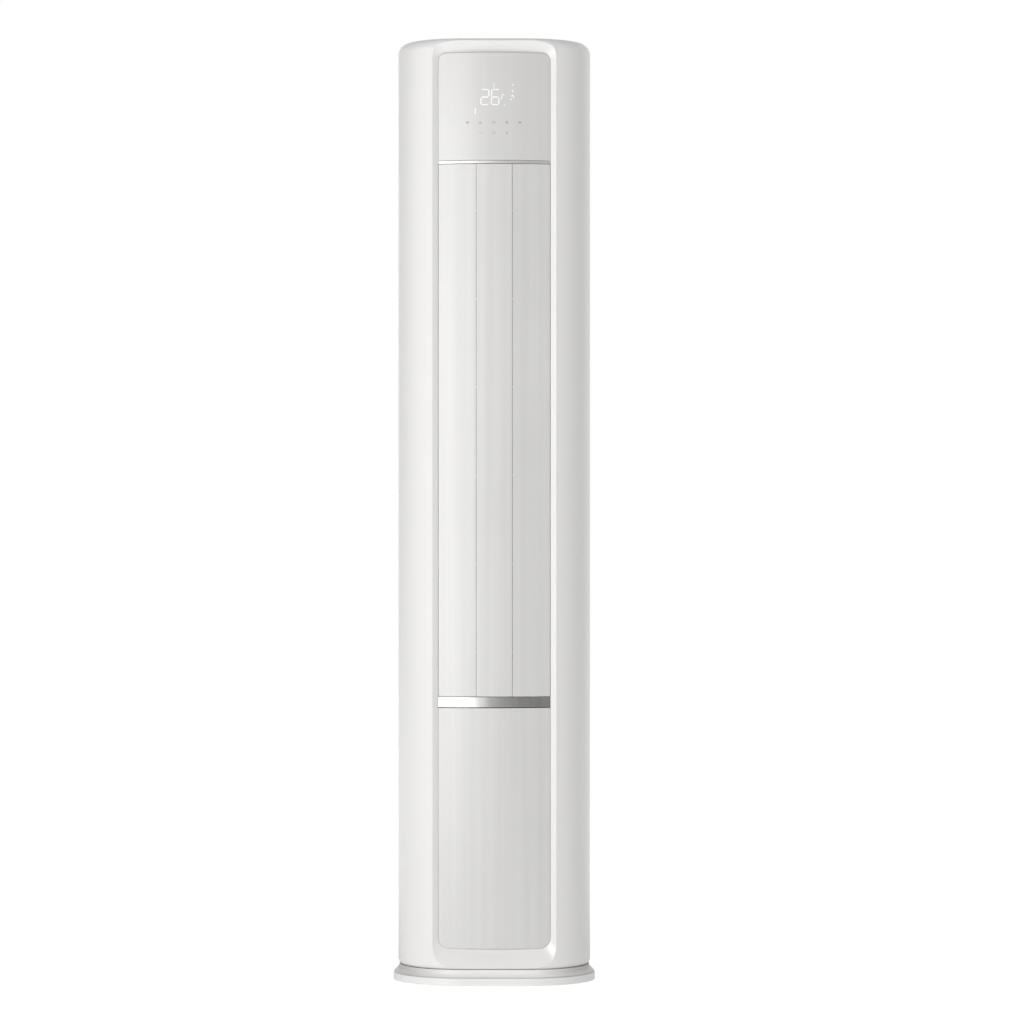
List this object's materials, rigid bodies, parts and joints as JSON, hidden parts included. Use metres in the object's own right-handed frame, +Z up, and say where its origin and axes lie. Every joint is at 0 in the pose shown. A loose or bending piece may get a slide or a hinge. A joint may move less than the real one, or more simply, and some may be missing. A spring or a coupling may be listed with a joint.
{
  "type": "floor standing air conditioner",
  "caption": "Tall column indoor air conditioner with a recessed bowed front, swing vanes, display window, lower panel, rear intake grilles and a round-cornered foot.",
  "frame": {"origin": "centre of the footprint, on the floor under the rubber feet", "axes": "+Z up along the column, -Y out of the front with the display and vanes, +X to the right as seen from the front"},
  "size_m": [0.378, 0.398, 1.755],
  "materials": {
    "shell_white": "satin-gloss moulded shell",
    "panel_white": "satin fluted panel",
    "window_gloss": "gloss window over the display",
    "trim_bright": "bright trim line",
    "band_chrome": "bright metal band",
    "base_plastic": "satin-gloss base",
    "grille_white": "fine satin",
    "filter_net": "woven nylon net in a frame",
    "duct_plastic": "plain moulded plastic",
    "deflector_white": "satin blades",
    "fan_plastic": "glass-filled plastic",
    "acetal_grey": "natural acetal",
    "drain_plastic": "ribbed grey plastic",
    "rubber_black": "matt rubber",
    "rubber_grey": "soft grey rubber",
    "motor_steel": "plated steel can",
    "shaft_steel": "ground steel",
    "galvanised": "galvanised sheet",
    "coil_aluminium": "coated fin stock",
    "copper_tube": "drawn copper tube",
    "brass_union": "turned brass",
    "board_green": "circuit board",
    "terminal_grey": "moulded terminal block",
    "screw_zinc": "zinc-plated"
  },
  "bodies": {
    "cabinet": {"base_foot": "base_plastic", "base_plinth": "base_plastic", "cable_gland": "rubber_grey", "case_screws": "screw_zinc", "chassis_bridge": "galvanised", "chassis_shelf": "galvanised", "chassis_uprights": "galvanised", "chrome_band": "band_chrome", "control_board": "board_green", "control_box": "galvanised", "control_box_cover": "galvanised", "display_board": "board_green", "display_carrier": "duct_plastic", "display_window": "window_gloss", "drain_pan": "duct_plastic", "drain_spout": "drain_plastic", "duct_high_plate": "duct_plastic", "duct_low_plate": "duct_plastic", "evaporator_bends": "copper_tube", "evaporator_end_plates": "galvanised", "evaporator_fins": "coil_aluminium", "fan_bearing": "rubber_black", "fan_motor": "motor_steel", "flare_unions": "brass_union", "front_frame": "shell_white", "lower_panel": "panel_white", "motor_bracket": "galvanised", "pipe_window_bush": "rubber_grey", "rear_guide": "duct_plastic", "rear_shell": "shell_white", "refrigerant_pipes": "copper_tube", "rubber_feet": "rubber_black", "stepper_motors": "motor_steel", "terminal_block": "terminal_grey", "tongue_wall": "duct_plastic", "top_cover": "shell_white", "trim_strip": "trim_bright", "union_plate": "galvanised", "wall_bracket": "galvanised"},
    "fan": {"fan_rotor": "fan_plastic", "fan_shafts": "shaft_steel"},
    "vane_left": {"vane_left": "panel_white", "vane_crank_left": "acetal_grey"},
    "vane_center": {"vane_center": "panel_white", "vane_crank_center": "acetal_grey"},
    "vane_right": {"vane_right": "panel_white", "vane_crank_right": "acetal_grey"},
    "vane_link": {"vane_link_bar": "acetal_grey"},
    "vane_motor_crank": {"vane_motor_crank": "acetal_grey"},
    "deflector_link": {"deflector_link_bar": "acetal_grey"},
    "intake_upper": {"intake_grille_upper": "grille_white", "air_filter_upper": "filter_net"},
    "intake_lower": {"intake_grille_lower": "grille_white", "air_filter_lower": "filter_net"},
    "deflector_1": {"deflector_1": "deflector_white"},
    "deflector_2": {"deflector_2": "deflector_white"},
    "deflector_3": {"deflector_3": "deflector_white"},
    "deflector_4": {"deflector_4": "deflector_white"},
    "deflector_5": {"deflector_5": "deflector_white"},
    "deflector_6": {"deflector_6": "deflector_white"}
  },
  "joints": [
    {"name": "fan_spin", "type": "hinge", "parent": "cabinet", "child": "fan", "pos_m": [0, 0.025, 1.028], "axis": [0, 0, 1], "continuous": true},
    {"name": "vane_center_turn", "type": "hinge", "parent": "cabinet", "child": "vane_center", "pos_m": [0, -0.178, 1.028], "axis": [0, 0, 1], "range_deg": [0, 90]},
    {"name": "vane_left_turn", "type": "hinge", "parent": "cabinet", "child": "vane_left", "pos_m": [-0.06794, -0.17202, 1.028], "axis": [0, 0, 1], "range_deg": [0, 90]},
    {"name": "vane_right_turn", "type": "hinge", "parent": "cabinet", "child": "vane_right", "pos_m": [0.06794, -0.17202, 1.028], "axis": [0, 0, 1], "range_deg": [0, 90]},
    {"name": "vane_link_turn", "type": "hinge", "parent": "vane_center", "child": "vane_link", "pos_m": [0.01273, -0.16527, 0.519], "axis": [0, 0, 1], "range_deg": [-90, 0]},
    {"name": "vane_motor_turn", "type": "hinge", "parent": "cabinet", "child": "vane_motor_crank", "pos_m": [0, -0.146, 0.512], "axis": [0, 0, 1], "range_deg": [0, 90]},
    {"name": "deflector_4_tilt", "type": "hinge", "parent": "cabinet", "child": "deflector_4", "pos_m": [0, -0.112, 1.1105], "axis": [1, 0, 0], "range_deg": [-30, 30]},
    {"name": "deflector_1_tilt", "type": "hinge", "parent": "cabinet", "child": "deflector_1", "pos_m": [0, -0.112, 0.6155], "axis": [1, 0, 0], "range_deg": [-30, 30]},
    {"name": "deflector_2_tilt", "type": "hinge", "parent": "cabinet", "child": "deflector_2", "pos_m": [0, -0.112, 0.7805], "axis": [1, 0, 0], "range_deg": [-30, 30]},
    {"name": "deflector_3_tilt", "type": "hinge", "parent": "cabinet", "child": "deflector_3", "pos_m": [0, -0.112, 0.9455], "axis": [1, 0, 0], "range_deg": [-30, 30]},
    {"name": "deflector_5_tilt", "type": "hinge", "parent": "cabinet", "child": "deflector_5", "pos_m": [0, -0.112, 1.2755], "axis": [1, 0, 0], "range_deg": [-30, 30]},
    {"name": "deflector_6_tilt", "type": "hinge", "parent": "cabinet", "child": "deflector_6", "pos_m": [0, -0.112, 1.4405], "axis": [1, 0, 0], "range_deg": [-30, 30]},
    {"name": "deflector_link_tilt", "type": "hinge", "parent": "deflector_4", "child": "deflector_link", "pos_m": [0, -0.098, 1.1105], "axis": [1, 0, 0], "range_deg": [-30, 30]},
    {"name": "intake_upper_pull", "type": "slide", "parent": "cabinet", "child": "intake_upper", "axis": [0, 1, 0], "range_m": [0, 0.06]},
    {"name": "intake_lower_pull", "type": "slide", "parent": "cabinet", "child": "intake_lower", "axis": [0, 1, 0], "range_m": [0, 0.06]}
  ],
  "couplings": [
    {"joint": "vane_left_turn", "follows": "vane_center_turn", "ratio": 1},
    {"joint": "vane_right_turn", "follows": "vane_center_turn", "ratio": 1},
    {"joint": "vane_link_turn", "follows": "vane_center_turn", "ratio": -1},
    {"joint": "vane_motor_turn", "follows": "vane_center_turn", "ratio": 1},
    {"joint": "deflector_1_tilt", "follows": "deflector_4_tilt", "ratio": 1},
    {"joint": "deflector_2_tilt", "follows": "deflector_4_tilt", "ratio": 1},
    {"joint": "deflector_3_tilt", "follows": "deflector_4_tilt", "ratio": 1},
    {"joint": "deflector_5_tilt", "follows": "deflector_4_tilt", "ratio": 1},
    {"joint": "deflector_6_tilt", "follows": "deflector_4_tilt", "ratio": 1},
    {"joint": "deflector_link_tilt", "follows": "deflector_4_tilt", "ratio": -1}
  ]
}
